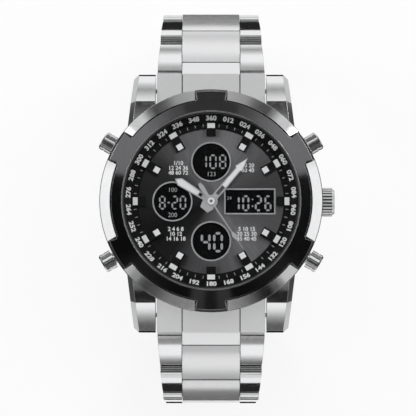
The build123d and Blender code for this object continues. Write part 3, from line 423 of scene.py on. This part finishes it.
# plain degrees round the sloping ring, upright in both halves; slope is in degrees
ringNumbers = {"count": 30, "step": 12, "radius": 17.12, "foot": 16.35, "low": 9.9,
               "slope": 45.86, "size": 1.15, "widen": 1.3, "stretch": 1.55, "bold": 0.045,
               "lift": 0.03}
shape = bmesh.new()
slope = math.radians(ringNumbers["slope"])
radius = ringNumbers["radius"]
height = ringNumbers["low"] + (radius - ringNumbers["foot"]) * math.tan(slope)
tall = Matrix.Diagonal((ringNumbers["widen"], ringNumbers["stretch"], 1, 1))
lean = (Matrix.Translation((0, radius * mm, height * mm)) @ Matrix.Rotation(slope, 4, "X")
        @ Matrix.Translation((0, 0, ringNumbers["lift"] * mm)))
for index in range(ringNumbers["count"]):
    turn = -index * 2 * math.pi / ringNumbers["count"]
    flip = Matrix.Rotation(math.pi if math.cos(turn) < -0.01 else 0, 4, "Z")
    plainText(shape, f"{index * ringNumbers['step'] or 360:03d}", ringNumbers["size"] * mm,
              Matrix.Rotation(turn, 4, "Z") @ lean @ flip @ tall, ringNumbers["bold"])
newPiece("flange_numbers", shape, "case", "PrintWhite")

# small plain numbers in mm: the middle of the rows, the rows, their size and how bold
smallNumbers = {
    "dial": {"height": 9.01, "ink": "PrintWhite", "rows": (
        (-6.78, 6.92, ("1/10", "12 24 36", "48 60 72"), 1.15, 0.025),
        (7.6, 6.92, ("10 20", "30 40"), 1.15, 0.025),
        (-7.3, -6.73, ("2 4 6 8", "10 12", "14 16 18"), 1.15, 0.025),
        (7.35, -6.73, ("5 10 15", "20 25 30", "35 40 45"), 1.15, 0.025),
    )},
    "display": {"height": 8.61, "ink": "DigitGrey", "rows": (
        (0.05, 5.65, ("123",), 1.3, 0.0),
        (-7.95, 2.4, ("100",), 1.3, 0.0),
        (-7.95, -2.8, ("200",), 1.3, 0.0),
        (3.75, 0.7, ("24",), 0.95, 0.0),
    )},
}
for kind, facts in smallNumbers.items():
    shape = bmesh.new()
    for x, y, rows, size, bold in facts["rows"]:
        for i, words in enumerate(rows):
            rise = (len(rows) - 1) / 2 - i  # rows stand 1 mm apart
            place = Matrix.Translation((x * mm, (y + rise) * mm, facts["height"] * mm))
            plainText(shape, words, size * mm, place, bold)
    newPiece(f"{kind}_numbers", shape, "case", facts["ink"])

# display digits made of seven bars: each bar's ends as shares of the digit's width and height
barEnds = {
    "a": ((0.12, 1.0), (0.88, 1.0)),
    "b": ((1.0, 0.94), (1.0, 0.54)),
    "c": ((1.0, 0.46), (1.0, 0.06)),
    "d": ((0.12, 0.0), (0.88, 0.0)),
    "e": ((0.0, 0.46), (0.0, 0.06)),
    "f": ((0.0, 0.94), (0.0, 0.54)),
    "g": ((0.12, 0.5), (0.88, 0.5)),
}
litBars = {"0": "abcdef", "1": "bc", "2": "abged", "4": "fgbc", "6": "afgedc", "8": "abcdefg"}
# in mm, with the heights of the colon's dots and the dash's length as shares of a digit
displayDigits = {"low": 8.6, "high": 8.62, "dot": (0.28, 0.32), "dots": (0.27, 0.69),
                 "colon": 0.62, "dash": 0.42}


def displayPlate(shape, corners):
    raisedPlate(shape, [(x * mm, y * mm) for x, y in corners],
                displayDigits["low"] * mm, displayDigits["high"] * mm)


def displayBar(shape, start, end, half):
    # a bar with pointed ends
    a, b = Vector(start), Vector(end)
    run = (b - a).normalized() * half
    side = Vector((-run.y, run.x))
    displayPlate(shape, (a + run - side, b - run - side, b, b - run + side, a + run + side, a))


def displayWord(shape, words, start, wide, tall, pitch, half):
    x, y = start
    across, up = wide - 2 * half, tall - 2 * half
    for letter in words:
        if letter == ":":
            dotWide, dotTall = displayDigits["dot"]
            for share in displayDigits["dots"]:
                foot = y + tall * share
                displayPlate(shape, ((x, foot), (x + dotWide, foot),
                                     (x + dotWide, foot + dotTall), (x, foot + dotTall)))
            x += displayDigits["colon"]
        elif letter == "-":
            dash = wide * displayDigits["dash"]
            displayBar(shape, (x, y + tall / 2), (x + dash, y + tall / 2), half)
            x += dash + pitch - wide
        else:
            for bar in litBars[letter]:
                ends = [(x + half + sx * across, y + half + sy * up) for sx, sy in barEnds[bar]]
                displayBar(shape, *ends, half)
            x += pitch


# in mm: left lower corner, width and height of a digit, pitch, half a bar's width
displayWords = (
    ("108", (-2.35, 6.75), 1.5, 3.0, 2.0, 0.17),
    ("8-20", (-10.75, -1.65), 1.36, 2.86, 1.68, 0.17),
    ("10:26", (4.45, -2.0), 1.47, 3.3, 1.98, 0.2),
    ("40", (-2.15, -10.5), 2.05, 4.2, 2.55, 0.26),
)
shape = bmesh.new()
for row in displayWords:
    displayWord(shape, *row)
newPiece("display_digits", shape, "case", "DigitGrey")
print("numbers made")

# white fillings: direction in degrees, heights, and half widths at distances out, in mm
handFillings = {
    "hour_hand": {"angle": 147.9, "low": 9.62, "high": 9.68,
                  "shape": [(3.1, 0.42), (7.5, 0.66), (8.4, 0.02)]},
    "minute_hand": {"angle": 49.7, "low": 10.04, "high": 10.1,
                    "shape": [(4.1, 0.4), (8.7, 0.4), (8.75, 0.76), (11.3, 0.02)]},
}
for hand, facts in handFillings.items():
    shape = bmesh.new()
    raisedPlate(shape, radialRow(outlined(facts["shape"]), facts["angle"]),
                facts["low"] * mm, facts["high"] * mm)
    newPiece(f"{hand}_filling", shape, hand, "MarkerWhite")

# turned ring on the hands' middle and the pin's end in it, black as painted shade in the cap's
# centre hollow: distance out and height, in mm
handCentre = {"steps": 48, "merge": 0.002, "pieces": (
    ("hand_cap", "MarkerWhite", ((0.36, 10.48), (0.38, 10.57), (0.44, 10.6), (0.66, 10.6),
                                 (0.72, 10.57), (0.74, 10.48), (0.36, 10.48))),
    ("hand_pin_shade", "BlackPlastic", ((0.0, 10.52), (0.15, 10.52), (0.18, 10.48), (0.0, 10.48))),
)}
for name, material, outline in handCentre["pieces"]:
    shape = bmesh.new()
    rim = [shape.verts.new((r * mm, 0, z * mm)) for r, z in outline]
    wire = [shape.edges.new(pair) for pair in zip(rim, rim[1:])]
    bmesh.ops.spin(shape, geom=rim + wire, axis=(0, 0, 1), cent=(0, 0, 0),
                   steps=handCentre["steps"], angle=2 * math.pi, use_merge=True)
    bmesh.ops.remove_doubles(shape, verts=shape.verts, dist=handCentre["merge"] * mm)
    bmesh.ops.recalc_face_normals(shape, faces=shape.faces)
    newPiece(name, shape, "seconds_hand", material)
print("hands filled")


def stageSheet(name, corners, material):
    mesh = bpy.data.meshes.new(name)
    shape = bmesh.new()
    shape.faces.new([shape.verts.new(corner) for corner in corners])
    shape.to_mesh(mesh)
    shape.free()
    made = bpy.data.objects.new(name, mesh)
    bpy.context.scene.collection.objects.link(made)
    mesh.materials.append(material)
    return made


def seenShare(tree):
    # 1 where it is seen straight, in a mirror or through glass, and 0 where it only lights
    ray = addNode(tree, "ShaderNodeLightPath")
    seen = addNode(tree, "ShaderNodeMath",
                   {0: ray.outputs["Is Camera Ray"], 1: ray.outputs["Is Glossy Ray"]},
                   operation="MAXIMUM")
    return addNode(tree, "ShaderNodeMath",
                   {0: seen.outputs[0], 1: ray.outputs["Is Transmission Ray"]},
                   operation="MAXIMUM").outputs[0]


# painted board, matt white: size and height in metres, and the share that glows instead of
# taking the watch's shadow
floorBoard = {"half": 1.5, "height": -0.0409, "tone": "#F2F2F2", "glow": 0.82}


def paleFloor():
    made, tree = newTree("PaleFloor")
    share = addNode(tree, "ShaderNodeMath", {0: seenShare(tree), 1: floorBoard["glow"]},
                    operation="MULTIPLY")
    matt = addNode(tree, "ShaderNodeBsdfDiffuse", {"Color": linear(floorBoard["tone"])})
    glow = addNode(tree, "ShaderNodeEmission", {"Color": (1, 1, 1, 1), "Strength": 1.0})
    both = addNode(tree, "ShaderNodeMixShader",
                   {0: share.outputs[0], 1: matt.outputs[0], 2: glow.outputs[0]})
    addNode(tree, "ShaderNodeOutputMaterial", {"Surface": both.outputs[0]})
    return made


def gradedCard(name, ramps):
    # softbox cloth: a glow whose grey changes along one or two axes
    made, tree = newTree(name)
    place = addNode(tree, "ShaderNodeTexCoord").outputs["Object"]
    parts = addNode(tree, "ShaderNodeSeparateXYZ", {0: place})
    grey, *others = [greyRamp(tree, parts.outputs[axis], stops) for axis, stops in ramps]
    for other in others:
        grey = addNode(tree, "ShaderNodeMath", {0: grey, 1: other},
                       operation="MULTIPLY").outputs[0]
    glow = addNode(tree, "ShaderNodeEmission", {"Color": grey, "Strength": 1.0})
    addNode(tree, "ShaderNodeOutputMaterial", {"Surface": glow.outputs[0]})
    return made


def levelSheet(height, left, right, front, behind):
    return ((left, front, height), (right, front, height),
            (right, behind, height), (left, behind, height))


half, low = floorBoard["half"], floorBoard["height"]
stageSheet("floor", levelSheet(low, -half, half, -half, half), paleFloor())

# what the metal mirrors: cards round, over and under the watch, with greys at places in metres
# those named along run sideways, left to right or from 6 o'clock to 12
cardGreys = {
    "over": ((-0.8, 0.06), (-0.16, 0.06), (-0.13, 0.02), (0.15, 0.02), (0.162, 0.75),
             (0.28, 0.8), (0.8, 0.9)),
    "overAlong": ((-0.8, 1.0), (-0.24, 1.0), (-0.14, 0.4), (0.0, 0.2), (0.14, 0.4),
                  (0.24, 1.0), (0.8, 1.0)),
    "overMiddle": ((0.17, 0.16), (0.28, 0.19), (0.36, 0.18), (0.48, 0.08), (0.58, 0.024),
                   (0.63, 0.024), (0.66, 0.18)),
    "overLow": ((-0.33, 0.12), (-0.2, 0.26), (-0.1, 0.38), (-0.03, 0.38)),
    "overLowAlong": ((-0.07, 1.0), (-0.026, 1.0), (-0.018, 0.3), (0.018, 0.3),
                     (0.026, 1.0), (0.07, 1.0)),
    "overEnd": ((-0.8, 0.55), (-0.5, 0.4)),
    "back": ((-0.04, 0.8), (0.0, 0.6), (0.045, 0.36), (0.1, 0.55), (0.2, 1.0), (0.36, 1.0),
             (0.5, 0.55), (0.6, 0.38), (1.0, 0.34)),
    "backAlong": ((-0.8, 1.5), (-0.62, 1.5), (-0.52, 0.35), (-0.47, 0.12), (-0.4, 0.14),
                  (-0.34, 0.2), (-0.26, 0.46), (-0.14, 0.5), (-0.05, 1.0), (0.05, 1.0),
                  (0.14, 0.5), (0.26, 0.45), (0.34, 0.2), (0.4, 0.14), (0.47, 0.12),
                  (0.54, 0.5), (0.62, 1.4), (0.8, 1.5)),
    "front": ((-0.04, 0.1), (0.04, 0.15), (0.12, 0.4), (0.2, 0.8), (0.25, 1.0), (0.49, 1.0),
              (0.54, 0.38), (0.64, 0.28), (0.71, 0.25), (0.8, 0.95), (1.0, 1.0)),
    "frontAlong": ((-0.8, 0.3), (-0.67, 0.2), (-0.5, 0.32), (-0.37, 0.6), (-0.18, 0.6),
                   (-0.06, 1.0), (0.06, 1.0), (0.18, 0.68), (0.3, 0.5), (0.42, 0.15),
                   (0.5, 0.04), (0.57, 0.04), (0.61, 0.25), (0.67, 0.37), (0.8, 0.9)),
    "sides": ((-0.04, 0.06), (0.05, 0.06), (0.12, 0.5), (0.26, 1.0), (0.9, 1.0), (1.0, 0.7)),
    "rightAlong": ((-0.8, 0.6), (-0.36, 0.65), (-0.31, 1.0), (0.31, 1.0), (0.36, 0.7),
                   (0.6, 0.75), (0.7, 1.1), (0.8, 1.3)),
    "leftAlong": ((-0.8, 0.28), (-0.68, 0.3), (-0.6, 0.6), (-0.36, 0.65), (-0.31, 1.0),
                  (0.31, 1.0), (0.36, 0.7), (0.6, 0.75), (0.7, 1.4), (0.8, 1.5)),
    "floorFront": ((-0.8, 0.12), (-0.6, 0.15), (-0.4, 0.5), (-0.3, 0.75), (-0.2, 0.75)),
    "floorLeft": ((-0.8, 0.06), (-0.45, 0.06), (-0.3, 0.25), (-0.13, 0.4), (-0.1, 0.62),
                  (-0.05, 0.62)),
    "floorRight": ((0.05, 0.62), (0.1, 0.62), (0.13, 0.4), (0.3, 0.25), (0.45, 0.06),
                   (0.8, 0.06)),
    "stripFront": ((-0.115, 0.02), (-0.054, 0.02)),
    "stripBack": ((0.054, 0.02), (0.115, 0.02)),
    "under": ((-0.03, 0.02), (0.03, 0.02)),
}
# in metres: how far away the walls stand, the ceiling's height, and how far cards lie off it
# and off the floor
room = {"away": 0.8, "over": 1.0, "overGap": 0.002, "floorGap": 0.0003}
away, top = room["away"], room["over"]
hung = top - room["overGap"]
laid, laidOver = low + room["floorGap"], low + 2 * room["floorGap"]


def wallSheet(x1, y1, x2, y2):
    return ((x1, y1, low), (x2, y2, low), (x2, y2, top), (x1, y1, top))


cards = (
    ("card_over", {"Y": "over", "X": "overAlong"}, levelSheet(top, -away, away, -away, away)),
    ("card_over_middle", {"Y": "overMiddle"}, levelSheet(hung, -0.1, 0.1, 0.17, 0.66)),
    ("card_over_low", {"Y": "overLow", "X": "overLowAlong"},
     levelSheet(hung, -0.07, 0.07, -0.33, -0.03)),
    ("card_over_end", {"Y": "overEnd"}, levelSheet(hung, -0.1, 0.1, -0.79, -0.5)),
    ("card_back", {"Z": "back", "X": "backAlong"}, wallSheet(-away, away, away, away)),
    ("card_front", {"Z": "front", "X": "frontAlong"}, wallSheet(-away, -away, away, -away)),
    ("card_left", {"Z": "sides", "Y": "leftAlong"}, wallSheet(-away, -away, -away, away)),
    ("card_right", {"Z": "sides", "Y": "rightAlong"}, wallSheet(away, -away, away, away)),
    ("floor_card_far_front", {"Y": "floorFront"}, levelSheet(laid, -0.05, 0.05, -away, -0.2)),
    ("floor_card_left", {"X": "floorLeft"}, levelSheet(laid, -away, -0.05, -away, away)),
    ("floor_card_right", {"X": "floorRight"}, levelSheet(laid, 0.05, away, -away, away)),
    ("floor_card_strip_front", {"Y": "stripFront"},
     levelSheet(laid, -0.03, 0.03, -0.115, -0.054)),
    ("floor_card_strip_back", {"Y": "stripBack"}, levelSheet(laid, -0.03, 0.03, 0.054, 0.115)),
    ("floor_card_under", {"Y": "under"}, levelSheet(laidOver, -0.12, 0.12, -0.03, 0.03)),
)
for name, ramps, corners in cards:
    ramps = [(axis, cardGreys[greys]) for axis, greys in ramps.items()]
    card = stageSheet(name, corners, gradedCard(name, ramps))
    card.visible_camera = False
    card.visible_diffuse = False
    card.visible_shadow = False
    card.visible_transmission = False

# soft lamps that all point at the watch: place and size in metres, power in watts
softLamps = {
    "lamp_top": {"place": (0.1, 0.3, 1.1), "size": (0.9, 0.5), "power": 5.4},
    "lamp_left": {"place": (-0.9, 0.3, 0.7), "size": (0.5, 0.5), "power": 3.4},
    "lamp_right": {"place": (0.8, 0.5, 0.6), "size": (0.4, 0.5), "power": 2.6},
}
for name, facts in softLamps.items():
    lamp = bpy.data.lights.new(name, "AREA")
    lamp.shape = "RECTANGLE"
    lamp.size, lamp.size_y = facts["size"]
    lamp.energy = facts["power"]
    holder = bpy.data.objects.new(name, lamp)
    holder.location = facts["place"]
    holder.rotation_euler = Vector(facts["place"]).to_track_quat("Z", "Y").to_euler()
    holder.visible_camera = False
    bpy.context.scene.collection.objects.link(holder)

# white where it is seen, weaker where it only lights the watch
paleWorld = {"light": 0.45, "seen": 1.0}
world = bpy.data.worlds.new("PaleWorld")
bpy.context.scene.world = world
world.use_nodes = True
tree = world.node_tree
tree.nodes.clear()
power = addNode(tree, "ShaderNodeMapRange",
                {"Value": seenShare(tree), "To Min": paleWorld["light"],
                 "To Max": paleWorld["seen"]})
air = addNode(tree, "ShaderNodeBackground",
              {"Color": (1, 1, 1, 1), "Strength": power.outputs[0]})
addNode(tree, "ShaderNodeOutputWorld", {"Surface": air.outputs[0]})
bpy.context.scene.view_settings.view_transform = "Standard"

# the camera looks down on the dial, leaning a few degrees towards 6 o'clock
# tilt in degrees, away and clip in metres, the rest in mm
cameraView = {"tilt": 3.2, "away": 0.8, "lens": 337.15, "target": (0, 0, 13.5),
              "aside": -0.64, "down": 1.6, "clip": 0.01}
lean = math.radians(cameraView["tilt"])
up = Vector((0, math.cos(lean), math.sin(lean)))
back = Vector((0, -math.sin(lean), math.cos(lean)))
lens = bpy.data.cameras.new("camera")
lens.lens = cameraView["lens"]
lens.clip_start = cameraView["clip"]
eye = bpy.data.objects.new("camera", lens)
eye.location = (Vector(cameraView["target"]) * mm + back * cameraView["away"]
                + Vector((cameraView["aside"] * mm, 0, 0)) - up * cameraView["down"] * mm)
eye.rotation_euler = (lean, 0, 0)
bpy.context.scene.collection.objects.link(eye)
bpy.context.scene.camera = eye
print("stage set")
